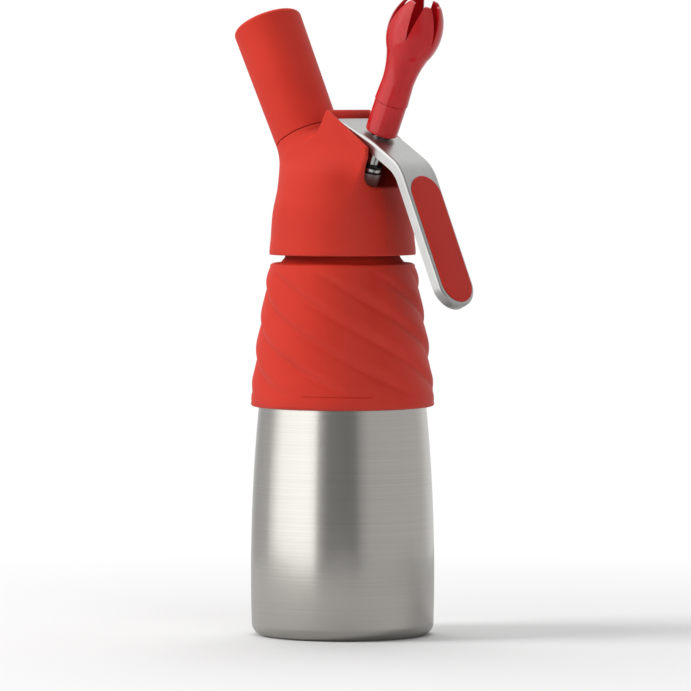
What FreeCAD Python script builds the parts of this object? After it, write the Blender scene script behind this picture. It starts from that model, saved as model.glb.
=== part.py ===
import FreeCAD, Part
import math
import os
import types

import Sketcher

# Whipped cream dispenser: a steel bottle in a soft sleeve, a screwed-on head with a lever valve,
# a fluted nozzle and a screwed-on holder for one gas charger. Millimetres, +Z up.
# The origin is the middle of the bottle's underside, +X points to the lever.

os.makedirs("parts", exist_ok=True)
doc = FreeCAD.newDocument("cream_dispenser")

SIZES = {
    # Bottle: heights are above the table
    "foot_radius": 35.6,
    "heel_height": 5.1,
    "barrel_radius": 41.0,
    "barrel_wide_height": 27.0,
    "barrel_sweep": 792.0,
    "shoulder_height": 150.0,
    "shoulder_bulge": 20.0,
    "neck_radius": 23.0,
    "neck_foot_height": 167.5,
    "neck_height": 184.5,
    "thread_radius": 23.9,
    "thread_start": 170.5,
    "thread_end": 183.0,
    "bottle_wall": 1.0,
    # Soft sleeve round the bottle
    "sleeve_foot_height": 102.2,
    "sleeve_lip_radius": 41.0,
    "sleeve_lip_rise": 1.8,
    "sleeve_top_height": 166.4,
    "sleeve_top_radius": 32.6,
    "sleeve_sweep": 700.0,
    "sleeve_edge": 1.2,
    "collar_foot_radius": 27.3,
    "collar_top_radius": 24.6,
    "collar_top_height": 168.8,
    # Head casting
    "head_foot_height": 171.6,
    "head_foot_radius": 29.7,
    "head_mid_height": 187.0,
    "head_mid_radius": 28.6,
    "head_top_height": 198.6,
    "head_top_radius": 24.6,
    "thread_gap": 0.3,
    "gasket_height": 2.0,
    "gasket_bore": 20.6,
    "dome_radius": 19.5,
    "dome_height": 193.5,
    # Soft head cover
    "cover_foot_height": 170.0,
    "cover_foot_radius": 32.7,
    "cover_hem_height": 172.4,
    "cover_belt_radius": 31.6,
    "cover_belt_height": 186.0,
    "cover_turn_radius": 29.6,
    "cover_turn_height": 195.2,
    "cover_waist_radius": 27.3,
    "cover_waist_height": 206.0,
    "cover_sweep": 34.0,
    "cover_crown_height": 218.0,
    "cover_floor": 1.8,
    "cheek_width": 28.2,
    "cheek_wall": 2.6,
    "cut_past": 20.0,
    "cheek_back": 3.5,
    "cheek_peak_height": 234.7,
    "cheek_front": 28.6,
    "cheek_front_height": 218.2,
    "cheek_knee_height": 213.0,
    "cheek_foot": 24.4,
    "cheek_nape": -2.8,
    "cheek_nape_height": 224.0,
    "back_wall": 1.6,
    # Charger line: its axis leaves the bottle axis at this height and leans back
    "charger_origin": 180.0,
    "charger_tilt": 27.4,
    "boss_radius": 13.0,
    "boss_end": 48.0,
    "stub_radius": 11.5,
    "stub_end": 58.0,
    "cover_seam": 47.65,
    "seam_radius": 14.85,
    "charger_radius": 9.0,
    "charger_length": 65.5,
    "charger_neck_radius": 4.2,
    "charger_neck_length": 9.0,
    "charger_wall": 1.8,
    "charger_tip": 37.5,
    "charger_gap": 0.4,
    "pin_radius": 0.9,
    "pin_depth": 1.2,
    "seat_length": 3.1,
    "gas_bore": 1.5,
    "check_radius": 3.5,
    "check_start": 14.6,
    "check_length": 2.8,
    "collar_inset": 6.0,
    "holder_radius": 13.2,
    "holder_floor": 1.3,
    "holder_end": 105.4,
    "holder_end_radius": 15.7,
    "holder_edge": 2.0,
    "running_gap": 0.3,
    # Valve line: its axis leaves the bottle axis at this height and leans to the lever
    "valve_origin": 172.8,
    "valve_tilt": 25.0,
    "guide_foot": 21.5,
    "guide_radius": 6.0,
    "guide_top": 38.9,
    "cup_floor": 29.0,
    "cup_radius": 5.2,
    "chamber_radius": 4.6,
    "chamber_top": 24.0,
    "seal_foot": 25.0,
    "seal_height": 2.0,
    "cap_seal_height": 1.0,
    "cap_height": 1.3,
    "wiper_height": 0.9,
    "stem_radius": 3.5,
    "stem_bore": 2.0,
    "stem_foot": 18.2,
    "stem_fit": 0.06,
    "stem_thread": 11.0,
    "disc_radius": 5.5,
    "disc_height": 1.5,
    "spring_radius": 4.35,
    "spring_wire": 0.7,
    "spring_length": 6.9,
    "shoulder_radius": 4.85,
    "shoulder_thickness": 1.5,
    "push_gap": 0.9,
    "push_radius": 5.5,
    "push_thickness": 1.4,
    # Nozzle: an adapter on the stem, then the fluted tip
    "adapter_gap": 1.3,
    "adapter_radius": 7.3,
    "adapter_length": 15.0,
    "adapter_edge": 1.2,
    "spigot_radius": 5.6,
    "spigot_length": 5.5,
    "nozzle_bore": 2.6,
    "tip_foot_radius": 7.6,
    "tip_waist_radius": 7.15,
    "tip_waist": 24.5,
    "tip_flare_radius": 9.6,
    "tip_flare": 38.5,
    "tip_mouth_radius": 7.6,
    "tip_mouth": 63.6,
    "tip_waist_sweep": 45.0,
    "tip_flare_sweep": 24.0,
    "tip_wall": 1.3,
    "tooth_root": 47.0,
    "tooth_gap": 4.66,
    "tooth_count": 6,
    # Lever: a pressed plate with turned-down rims, measured along its top face
    "plate_height": 55.6,
    "plate_thickness": 1.5,
    "rim_depth": 4.8,
    "rim_thickness": 1.5,
    "trough_reach": 12.0,
    "lever_width": 21.2,
    "lever_edge": 1.3,
    "plate_back": 17.6,
    "plate_front": 5.5,
    "middle_run": 21.07,
    "grip_run": 67.1,
    "middle_drop": 31.0,
    "grip_drop": 65.0,
    "first_bend": 60.0,
    "second_bend": 20.0,
    "slot_width": 7.8,
    "slot_length": 9.8,
    "pad_width": 17.8,
    "pad_length": 60.4,
    "pad_sink": 0.4,
    "pad_proud": 1.0,
    # Lever pivot
    "pivot_back": 14.2,
    "pivot_depth": 4.6,
    "pivot_radius": 1.5,
    "pivot_fit": 0.06,
    "pivot_length": 21.8,
    "ear_radius": 3.2,
    "lug_radius": 2.9,
    "lug_width": 17.4,
    "lug_foot_back": -3.5,
    "lug_foot_front": 4.4,
}

sheet = doc.addObject("Spreadsheet::Sheet", "sizes")


class Size:
    """A length or angle: its number, and the sheet expression that gives it."""

    def __init__(self, number, text):
        self.number = number
        self.text = text

    def __add__(self, other):
        other = as_size(other)
        return Size(self.number + other.number, f"({self.text} + {other.text})")

    def __radd__(self, other):
        return as_size(other) + self

    def __sub__(self, other):
        other = as_size(other)
        return Size(self.number - other.number, f"({self.text} - {other.text})")

    def __rsub__(self, other):
        return as_size(other) - self

    def __mul__(self, other):
        other = as_size(other)
        return Size(self.number * other.number, f"({self.text} * {other.text})")

    def __rmul__(self, other):
        return as_size(other) * self

    def __truediv__(self, other):
        other = as_size(other)
        return Size(self.number / other.number, f"({self.text} / {other.text})")

    def __neg__(self):
        return 0 - self


def as_size(value):
    if isinstance(value, Size):
        return value
    return Size(float(value), f"{float(value)}")


def sine(angle):
    return Size(math.sin(math.radians(angle.number)), f"sin({angle.text})")


def cosine(angle):
    return Size(math.cos(math.radians(angle.number)), f"cos({angle.text})")


def tangent(angle):
    return Size(math.tan(math.radians(angle.number)), f"tan({angle.text})")


def root(value):
    return Size(math.sqrt(value.number), f"sqrt({value.text})")


named = {}
for row, (alias, value) in enumerate(SIZES.items(), start=1):
    sheet.set(f"A{row}", alias)
    sheet.set(f"B{row}", str(value))
    sheet.setAlias(f"B{row}", alias)
    named[alias] = Size(float(value), f"sizes.{alias}")
doc.recompute()
d = types.SimpleNamespace(**named)

PARTS = {}


def part(name, shape_object):
    """Names a sub-part: its label is also its file's name."""
    shape_object.Label = name
    PARTS[name] = shape_object
    return shape_object


# Frames: the upright one, the leaning valve line and the leaning charger line


class Frame:
    """A frame at a height on the bottle axis, leaning over about Y."""

    def __init__(self, height, tilt):
        self.height = height
        self.tilt = tilt

    def point(self, across, along):
        """World X and Z of a point given across and along the leaning axis."""
        x = across * cosine(self.tilt) + along * sine(self.tilt)
        z = self.height + along * cosine(self.tilt) - across * sine(self.tilt)
        return x, z


def set_frame(thing, frame, across=0, along=0):
    """Puts a thing at a point of a frame, turned with it."""
    x, z = frame.point(as_size(across), as_size(along))
    place(thing, x, z, frame.tilt)


def place(thing, x, z, tilt):
    spot = FreeCAD.Vector(x.number, 0, z.number)
    turn = FreeCAD.Rotation(FreeCAD.Vector(0, 1, 0), tilt.number)
    thing.Placement = FreeCAD.Placement(spot, turn)
    thing.setExpression("Placement.Base.x", x.text)
    thing.setExpression("Placement.Base.z", z.text)
    if tilt.number:
        thing.setExpression("Placement.Rotation.Angle", tilt.text)


UPRIGHT = Frame(as_size(0), as_size(0))
VALVE = Frame(d.valve_origin, d.valve_tilt)
CHARGER = Frame(d.charger_origin, -d.charger_tilt)


# Sketched bodies


def new_body(name, frame=UPRIGHT):
    body = doc.addObject("PartDesign::Body", name)
    if frame is not UPRIGHT:
        set_frame(body, frame)
    return body


def sketch_on(body, name, role="XZ_Plane"):
    plane = [feature for feature in body.Origin.OriginFeatures if feature.Role == role][0]
    sketch = body.newObject("Sketcher::SketchObject", name)
    sketch.AttachmentSupport = [(plane, "")]
    sketch.MapMode = "FlatFace"
    return sketch


def arc_between(first, last, radius):
    """Short arc from first to last, turning left for a positive radius and right for a negative one."""
    chord = last - first
    half = chord.Length / 2
    reach = math.sqrt(max(radius * radius - half * half, 0))
    side = FreeCAD.Vector(-chord.y, chord.x, 0).normalize()
    centre = (first + last) / 2 + side * math.copysign(reach, radius)
    start, end = (first, last) if radius > 0 else (last, first)
    start_angle = math.atan2(start.y - centre.y, start.x - centre.x)
    end_angle = math.atan2(end.y - centre.y, end.x - centre.x)
    circle = Part.Circle(centre, FreeCAD.Vector(0, 0, 1), abs(radius))
    return Part.ArcOfCircle(circle, start_angle, end_angle)


def draw_outline(sketch, corners):
    """Closed outline through corners (x, y) or (x, y, radius of the arc to the next corner)."""
    spots = [FreeCAD.Vector(as_size(c[0]).number, as_size(c[1]).number, 0) for c in corners]
    count = len(corners)
    starts = []
    for index, corner in enumerate(corners):
        first = spots[index]
        last = spots[(index + 1) % count]
        if len(corner) == 3:
            sketch.addGeometry(arc_between(first, last, corner[2].number), False)
            starts.append(1 if corner[2].number > 0 else 2)
        else:
            sketch.addGeometry(Part.LineSegment(first, last), False)
            starts.append(1)
    for index in range(count):
        after = (index + 1) % count
        end = 3 - starts[index]
        sketch.addConstraint(Sketcher.Constraint("Coincident", index, end, after, starts[after]))
    for index, corner in enumerate(corners):
        ends = (-1, 1, index, starts[index])
        bind(sketch, Sketcher.Constraint("DistanceX", *ends, spots[index].x), as_size(corner[0]))
        bind(sketch, Sketcher.Constraint("DistanceY", *ends, spots[index].y), as_size(corner[1]))
        if len(corner) == 3:
            size = corner[2] if corner[2].number > 0 else -corner[2]
            bind(sketch, Sketcher.Constraint("Radius", index, size.number), size)


def bind(sketch, constraint, size):
    index = sketch.addConstraint(constraint)
    if "sizes." in size.text:
        sketch.setExpression(f"Constraints[{index}]", size.text)


def revolved(name, corners, frame=UPRIGHT):
    """A turned body: radius and height corners spun round the frame's axis."""
    body = new_body(name, frame)
    sketch = sketch_on(body, name + "_profile")
    draw_outline(sketch, corners)
    turned = body.newObject("PartDesign::Revolution", name + "_turned")
    turned.Profile = sketch
    turned.ReferenceAxis = (sketch, ["V_Axis"])
    turned.Angle = 360
    body.Tip = turned
    return body


def padded(name, corners, width, frame=UPRIGHT):
    """A slab: an outline seen from the side, as thick as width about the middle plane."""
    body = new_body(name, frame)
    sketch = sketch_on(body, name + "_profile")
    draw_outline(sketch, corners)
    pad = body.newObject("PartDesign::Pad", name + "_pad")
    pad.Profile = sketch
    pad.SideType = "Symmetric"
    pad.Length = width.number
    pad.setExpression("Length", width.text)
    body.Tip = pad
    return body


# Plain solids and booleans


def rod(name, radius, start, length, frame, across=0):
    """A cylinder along a frame's axis, from start."""
    solid = doc.addObject("Part::Cylinder", name)
    radius = as_size(radius)
    length = as_size(length)
    solid.Radius = radius.number
    solid.Height = length.number
    solid.setExpression("Radius", radius.text)
    solid.setExpression("Height", length.text)
    set_frame(solid, frame, across, start)
    return solid


def cross_rod(name, radius, length, x, z):
    """A cylinder along Y, about the middle plane, through world X and Z."""
    solid = doc.addObject("Part::Cylinder", name)
    solid.Radius = radius.number
    solid.Height = length.number
    solid.setExpression("Radius", radius.text)
    solid.setExpression("Height", length.text)
    turn = FreeCAD.Rotation(FreeCAD.Vector(1, 0, 0), -90)
    solid.Placement = FreeCAD.Placement(FreeCAD.Vector(0, 0, 0), turn)
    solid.setExpression("Placement.Base.x", x.text)
    solid.setExpression("Placement.Base.y", (length / -2).text)
    solid.setExpression("Placement.Base.z", z.text)
    return solid


def ring(name, inner, outer, start, height, frame=UPRIGHT):
    """A plain turned ring on a frame's axis."""
    corners = [(inner, start), (outer, start), (outer, start + height), (inner, start + height)]
    return revolved(name, corners, frame)


def fused(name, pieces):
    whole = doc.addObject("Part::MultiFuse", name)
    whole.Shapes = pieces
    return whole


def cut(name, base, tools):
    rest = doc.addObject("Part::Cut", name)
    rest.Base = base
    rest.Tool = tools[0] if len(tools) == 1 else fused(name + "_tools", tools)
    return rest


def rounded(name, base, radius, wanted):
    """Rounds the edges that wanted picks, all with one bound radius."""
    doc.recompute()
    numbers = [n for n, edge in enumerate(base.Shape.Edges, start=1) if wanted(edge)]
    fillet = doc.addObject("Part::Fillet", name)
    fillet.Base = base
    fillet.Edges = [(n, radius.number, radius.number) for n in numbers]
    return fillet


# Bottle: spun steel, a barrel that narrows upwards into a threaded neck


def barrel_at(height):
    """Outer radius of the barrel's long arc at a height."""
    rise = height - d.barrel_wide_height
    return d.barrel_radius - d.barrel_sweep + root(d.barrel_sweep * d.barrel_sweep - rise * rise)


heel_radius = barrel_at(d.heel_height)
shoulder_radius = barrel_at(d.shoulder_height)
heel_sweep = d.heel_height + 0.4
wall = d.bottle_wall
bottle_outside = [
    (d.foot_radius, as_size(0), heel_sweep),
    (heel_radius, d.heel_height, d.barrel_sweep),
    (shoulder_radius, d.shoulder_height, d.shoulder_bulge),
    (d.neck_radius, d.neck_foot_height),
    (d.neck_radius, d.thread_start),
    (d.thread_radius, d.thread_start + d.thread_radius - d.neck_radius),
    (d.thread_radius, d.thread_end),
    (d.neck_radius, d.neck_height),
]
bottle_inside = [
    (d.neck_radius - wall, d.neck_height),
    (d.neck_radius - wall, d.neck_foot_height, wall - d.shoulder_bulge),
    (shoulder_radius - wall, d.shoulder_height, wall - d.barrel_sweep),
    (heel_radius - wall, d.heel_height, wall - heel_sweep),
    (d.foot_radius, wall),
    (as_size(0), wall),
]
bottle_profile = [(as_size(0), as_size(0))] + bottle_outside + bottle_inside
part("bottle", revolved("bottle_body", bottle_profile))

# Sleeve: soft wall between the barrel and a gently bulging outside, with a lip and a neck collar

foot_line = barrel_at(d.sleeve_foot_height)
sleeve_profile = [
    (foot_line, d.sleeve_foot_height),
    (d.sleeve_lip_radius - d.sleeve_lip_rise, d.sleeve_foot_height, d.sleeve_lip_rise),
    (d.sleeve_lip_radius, d.sleeve_foot_height + d.sleeve_lip_rise, d.sleeve_sweep),
    (d.sleeve_top_radius, d.sleeve_top_height - d.sleeve_edge, d.sleeve_edge),
    (d.sleeve_top_radius - d.sleeve_edge, d.sleeve_top_height),
    (d.collar_foot_radius, d.sleeve_top_height),
    (d.collar_top_radius, d.collar_top_height),
    (d.neck_radius, d.collar_top_height),
    (d.neck_radius, d.neck_foot_height, -d.shoulder_bulge),
    (shoulder_radius, d.shoulder_height, -d.barrel_sweep),
]
part("bottle_sleeve", revolved("sleeve_body", sleeve_profile))

# Gasket between the bottle's rim and the head

socket_radius = d.thread_radius + d.thread_gap
gasket_radius = d.thread_radius
gasket_top = d.neck_height + d.gasket_height
part("head_gasket", ring("gasket_ring", d.gasket_bore, gasket_radius, d.neck_height, d.gasket_height))

# Head casting: a bell over the neck, a boss and stub for the charger, a lug for the lever pivot

bell = revolved("bell", [
    (as_size(0), d.head_foot_height),
    (d.head_foot_radius, d.head_foot_height),
    (d.head_mid_radius, d.head_mid_height),
    (d.head_top_radius, d.head_top_height),
    (as_size(0), d.head_top_height),
])
pivot_x, pivot_z = VALVE.point(-d.pivot_back, d.plate_height - d.pivot_depth)
lug_outline = [
    (d.lug_foot_back, d.dome_height),
    (d.lug_foot_front, d.dome_height),
    (d.lug_foot_front, d.head_top_height),
    (pivot_x + d.lug_radius, pivot_z, d.lug_radius),
    (pivot_x, pivot_z + d.lug_radius, d.lug_radius),
    (pivot_x - d.lug_radius, pivot_z),
    (d.lug_foot_back, d.head_top_height),
]


def boss_rod(name):
    return rod(name, d.boss_radius, d.check_start, d.boss_end - d.check_start, CHARGER)


head_outside = fused("head_outside", [
    bell,
    boss_rod("charger_boss"),
    rod("charger_stub", d.stub_radius, d.boss_end, d.stub_end - d.boss_end, CHARGER),
    padded("pivot_lug", lug_outline, d.lug_width),
])
bulb_hole = d.charger_radius + d.charger_gap
neck_hole = d.charger_neck_radius + d.charger_gap
seat_foot = d.charger_tip - d.seat_length
bulb_hole_foot = d.charger_tip + d.charger_neck_length - 1
head_hollow = revolved("head_hollow", [
    (as_size(0), d.head_foot_height - 1),
    (socket_radius, d.head_foot_height - 1),
    (socket_radius, gasket_top),
    (d.dome_radius, gasket_top),
    (d.dome_radius, d.dome_height),
    (as_size(0), d.dome_height),
])
charger_hollow = revolved("charger_hollow", [
    (as_size(0), d.check_start - d.check_radius),
    (d.check_radius, d.check_start - d.check_radius),
    (d.check_radius, d.check_start + d.check_length),
    (d.gas_bore, d.check_start + d.check_length),
    (d.gas_bore, seat_foot - 1),
    (neck_hole, seat_foot - 1),
    (neck_hole, bulb_hole_foot),
    (bulb_hole, bulb_hole_foot),
    (bulb_hole, d.stub_end + 1),
    (as_size(0), d.stub_end + 1),
], CHARGER)
guide_hole = rod("guide_hole", d.guide_radius, d.guide_foot - 3, d.guide_top - d.guide_foot + 3, VALVE)
lug_hole = cross_rod("lug_hole", d.pivot_radius, d.lug_width + 2, pivot_x, pivot_z)
head_tools = [head_hollow, charger_hollow, guide_hole, lug_hole]
part("head_body", cut("head_casting", head_outside, head_tools))

# Head cover: a soft moulding with a round skirt, two cheeks beside the lever and a charger collar

skirt = revolved("skirt", [
    (as_size(0), d.cover_foot_height),
    (d.cover_foot_radius, d.cover_foot_height),
    (d.cover_foot_radius, d.cover_hem_height),
    (d.cover_belt_radius, d.cover_belt_height, d.cover_sweep),
    (d.cover_turn_radius, d.cover_turn_height, -d.cover_sweep),
    (d.cover_waist_radius, d.cover_waist_height, d.cover_waist_radius + 4),
    (as_size(0), d.cover_crown_height),
])
cheek_outline = [
    (d.cheek_nape - d.cheek_width / 2, d.head_top_height),
    (d.cheek_foot - 2, d.head_top_height),
    (d.cheek_foot, d.head_top_height + d.cover_floor),
    (d.cheek_front, d.cheek_knee_height),
    (d.cheek_front, d.cheek_front_height),
    (d.cheek_back, d.cheek_peak_height),
    (d.cheek_nape, d.cheek_nape_height),
    (d.cheek_nape - d.cheek_width / 2, d.cheek_nape_height - d.cheek_width / 3),
]
cheeks = padded("cheeks", cheek_outline, d.cheek_width)
collar = rod("collar", d.seam_radius, d.check_start + d.collar_inset,
             d.cover_seam - d.check_start - d.collar_inset, CHARGER)
cover_outside = fused("cover_outside", [skirt, cheeks, collar])
inner_cheek = d.cheek_width - 2 * d.cheek_wall
cover_top = d.head_top_height + d.cover_floor
lever_well = padded("lever_well", [
    (d.cheek_back + d.back_wall, cover_top),
    (d.cheek_front + d.cut_past, cover_top),
    (d.cheek_front + d.cut_past, d.cheek_peak_height + d.cut_past / 2),
    (d.cheek_back + d.back_wall, d.cheek_peak_height + d.cut_past / 2),
], inner_cheek)
cover_hollow = revolved("cover_hollow", [
    (as_size(0), d.cover_foot_height - 1),
    (d.head_foot_radius, d.cover_foot_height - 1),
    (d.head_foot_radius, d.head_foot_height),
    (d.head_mid_radius, d.head_mid_height),
    (d.head_top_radius, d.head_top_height),
    (as_size(0), d.head_top_height),
])
cover_tools = [
    lever_well,
    cover_hollow,
    boss_rod("boss_space"),
    padded("lug_space", lug_outline, d.lug_width),
    rod("guide_space", d.guide_radius + 0.1, d.guide_foot, d.guide_top - d.guide_foot, VALVE),
]
part("head_cover", cut("cover_moulding", cover_outside, cover_tools))

# Charger line: check valve, pin with its seal, the gas charger, and the holder with its cover

part("inlet_valve", rod("check_body", d.check_radius, d.check_start, d.check_length, CHARGER))
pin_tip = d.charger_tip + d.pin_depth
pin_profile = [
    (as_size(0), seat_foot - 1),
    (neck_hole, seat_foot - 1),
    (neck_hole, seat_foot),
    (d.pin_radius, seat_foot),
    (d.pin_radius, d.charger_tip),
    (as_size(0), pin_tip),
]
part("piercing_pin", revolved("pin_body", pin_profile, CHARGER))
seat = ring("seat_ring", d.pin_radius + 0.6, neck_hole, seat_foot, d.seat_length - 0.1, CHARGER)
part("charger_seal", seat)

bulb = d.charger_radius
throat = d.charger_neck_radius
bulb_end = d.charger_tip + d.charger_length
shoulder_start = d.charger_tip + d.charger_neck_length
shell = d.charger_wall
bulb_profile = [
    (d.pin_radius + 0.2, d.charger_tip),
    (throat, d.charger_tip),
    (throat, shoulder_start, -(bulb - throat)),
    ((bulb + throat) / 2, shoulder_start + throat, bulb - throat),
    (bulb, shoulder_start + throat * 2),
    (bulb, bulb_end - bulb, bulb),
    (as_size(0), bulb_end),
    (as_size(0), bulb_end - shell, -(bulb - shell)),
    (bulb - shell, bulb_end - bulb),
    (bulb - shell, shoulder_start + throat * 2 + shell),
    (throat - shell, shoulder_start),
    (throat - shell, d.charger_tip + shell),
    (d.pin_radius + 0.2, d.charger_tip + shell),
]
part("gas_charger", revolved("charger_bulb", bulb_profile, CHARGER))

holder_foot = d.boss_end + d.running_gap
holder_thread = d.stub_radius + d.thread_gap
thread_top = d.stub_end + 0.6
core_end = d.holder_end - d.holder_floor
holder_bore_end = bulb_end + d.running_gap
holder_profile = [
    (holder_thread, holder_foot),
    (d.holder_radius, holder_foot),
    (d.holder_radius, core_end),
    (as_size(0), core_end),
    (as_size(0), holder_bore_end),
    (bulb_hole, holder_bore_end),
    (bulb_hole, thread_top),
    (holder_thread, thread_top),
]
part("charger_holder", revolved("holder_cup", holder_profile, CHARGER))
holder_cover_profile = [
    (d.holder_radius, d.cover_seam + d.running_gap),
    (d.seam_radius, d.cover_seam + d.running_gap),
    (d.holder_end_radius, d.holder_end - d.holder_edge, d.holder_edge),
    (d.holder_end_radius - d.holder_edge, d.holder_end),
    (as_size(0), d.holder_end),
    (as_size(0), core_end),
    (d.holder_radius, core_end),
]
part("holder_cover", revolved("holder_sheath", holder_cover_profile, CHARGER))

# Valve line: guide, seals, cap and the hollow stem that the lever pushes

slip = d.stem_radius + d.stem_fit
guide_profile = [
    (d.chamber_radius, d.guide_foot),
    (d.guide_radius, d.guide_foot),
    (d.guide_radius, d.guide_top),
    (d.cup_radius, d.guide_top),
    (d.cup_radius, d.cup_floor),
    (slip, d.cup_floor),
    (slip, d.seal_foot + d.seal_height),
    (d.cup_radius - 0.2, d.seal_foot + d.seal_height),
    (d.cup_radius - 0.2, d.seal_foot),
    (slip, d.seal_foot),
    (slip, d.chamber_top),
    (d.chamber_radius, d.chamber_top),
]
part("valve_guide", revolved("guide_body", guide_profile, VALVE))
seal = ring("stem_ring", slip, d.cup_radius - 0.2, d.seal_foot, d.seal_height, VALVE)
part("stem_seal", seal)
cap_seal = ring("cap_ring", d.cup_radius, d.guide_radius + 0.1, d.guide_top, d.cap_seal_height, VALVE)
part("cap_seal", cap_seal)
cap_foot = d.guide_top + d.cap_seal_height
cap = ring("cap_body", slip + 0.2, d.guide_radius, cap_foot, d.cap_height, VALVE)
part("valve_cap", cap)
wiper_foot = cap_foot + d.cap_height
wiper = ring("wiper_ring", slip, d.cup_radius, wiper_foot, d.wiper_height, VALVE)
part("stem_wiper", wiper)

disc_top = d.guide_foot - 0.1
push_top = d.plate_height - d.plate_thickness - d.push_gap
stem_shoulder = d.cup_floor + d.spring_length + 0.1
adapter_foot = d.plate_height + d.adapter_gap
stem_top = adapter_foot + d.stem_thread
stem_profile = [
    (as_size(0), d.stem_foot),
    (d.stem_radius, d.stem_foot),
    (d.stem_radius, stem_shoulder),
    (d.shoulder_radius, stem_shoulder),
    (d.shoulder_radius, stem_shoulder + d.shoulder_thickness),
    (d.stem_radius, stem_shoulder + d.shoulder_thickness),
    (d.stem_radius, push_top - d.push_thickness),
    (d.push_radius, push_top - d.push_thickness),
    (d.push_radius, push_top - 0.5),
    (d.push_radius - 0.5, push_top),
    (d.stem_radius, push_top),
    (d.stem_radius, stem_top),
    (d.stem_bore, stem_top),
    (d.stem_bore, d.guide_foot),
    (as_size(0), d.guide_foot),
]
stem_turned = revolved("stem_turned", stem_profile, VALVE)
port_x, port_z = VALVE.point(as_size(0), (d.guide_foot + d.chamber_top) / 2)
port = cross_rod("stem_port", d.stem_bore * 0.5, d.stem_radius * 2 + 2, port_x, port_z)
part("valve_stem", cut("stem_body", stem_turned, [port]))
disc = ring("disc_ring", d.stem_radius, d.disc_radius, disc_top - d.disc_height, d.disc_height, VALVE)
part("valve_disc", disc)
coil_inner = d.spring_radius - d.spring_wire / 2
coil_outer = d.spring_radius + d.spring_wire / 2
part("valve_spring", ring("spring_coil", coil_inner, coil_outer, d.cup_floor, d.spring_length, VALVE))

# Nozzle: adapter on the stem, its seal, and the tip with its ring of teeth

adapter_top = adapter_foot + d.adapter_length
spigot_top = adapter_top + d.spigot_length
adapter_profile = [
    (d.stem_radius, adapter_foot),
    (d.adapter_radius - d.adapter_edge, adapter_foot, d.adapter_edge),
    (d.adapter_radius, adapter_foot + d.adapter_edge),
    (d.adapter_radius, adapter_top),
    (d.spigot_radius, adapter_top),
    (d.spigot_radius, spigot_top),
    (d.nozzle_bore, spigot_top),
    (d.nozzle_bore, stem_top),
    (d.stem_radius, stem_top),
]
part("nozzle_adapter", revolved("adapter_body", adapter_profile, VALVE))
seal_top = spigot_top + 0.6
seal_bore = d.nozzle_bore + 0.4
tip_seal = ring("nozzle_ring", seal_bore, d.spigot_radius - 0.2, spigot_top + 0.1, as_size(0.5), VALVE)
part("nozzle_seal", tip_seal)

tip_foot = adapter_top + d.running_gap
tip_socket = d.spigot_radius + d.running_gap
tip_ledge = seal_top + d.running_gap
lip = d.tip_wall
tip_profile = [
    (tip_socket, tip_foot),
    (d.tip_foot_radius, tip_foot),
    (d.tip_waist_radius, adapter_foot + d.tip_waist, -d.tip_waist_sweep),
    (d.tip_flare_radius, adapter_foot + d.tip_flare, d.tip_flare_sweep),
    (d.tip_mouth_radius, adapter_foot + d.tip_mouth),
    (d.tip_mouth_radius - lip, adapter_foot + d.tip_mouth, lip - d.tip_flare_sweep),
    (d.tip_flare_radius - lip, adapter_foot + d.tip_flare, d.tip_waist_sweep + lip),
    (d.tip_waist_radius - lip, adapter_foot + d.tip_waist),
    (d.spigot_radius - lip, tip_ledge),
    (tip_socket, tip_ledge),
]
tip_body = revolved("tip_body", tip_profile, VALVE)
gap_sketch = sketch_on(tip_body, "tooth_gap_profile", "YZ_Plane")
gap_grow = d.tooth_gap / 2 * (d.tip_mouth - d.tooth_root + 1) / (d.tip_mouth - d.tooth_root)
draw_outline(gap_sketch, [
    (as_size(0), adapter_foot + d.tooth_root),
    (gap_grow, adapter_foot + d.tip_mouth + 1),
    (-gap_grow, adapter_foot + d.tip_mouth + 1),
])
gap_cut = tip_body.newObject("PartDesign::Pocket", "tooth_gap_cut")
gap_cut.Profile = gap_sketch
gap_cut.Reversed = True
gap_cut.Length = d.tip_flare_radius.number * 2
gap_cut.setExpression("Length", (d.tip_flare_radius * 2).text)
tip_body.Tip = gap_cut
gap_ring = tip_body.newObject("PartDesign::PolarPattern", "tooth_gaps")
gap_ring.Originals = [gap_cut]
z_axis = [feature for feature in tip_body.Origin.OriginFeatures if feature.Role == "Z_Axis"][0]
gap_ring.Axis = (z_axis, [""])
gap_ring.Angle = 360
gap_ring.Occurrences = int(d.tooth_count.number)
gap_ring.setExpression("Occurrences", d.tooth_count.text)
tip_body.Tip = gap_ring
part("nozzle_tip", tip_body)

# Lever: one pressed strip, bent twice, with rims turned down all round

plate_drop = d.valve_tilt
hinge_x, hinge_z = VALVE.point(-d.plate_back, d.plate_height)
first_x, first_z = VALVE.point(d.plate_front, d.plate_height)
second_x = first_x + d.middle_run * cosine(d.middle_drop)
second_z = first_z - d.middle_run * sine(d.middle_drop)
end_radius = d.lever_width / 2
tip_x = second_x + d.grip_run * cosine(d.grip_drop)
tip_z = second_z - d.grip_run * sine(d.grip_drop)


def under(x, z, drop, depth):
    """The point a depth under the lever's top face, where that face falls by drop degrees."""
    return x - depth * sine(drop), z - depth * cosine(drop)


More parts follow.
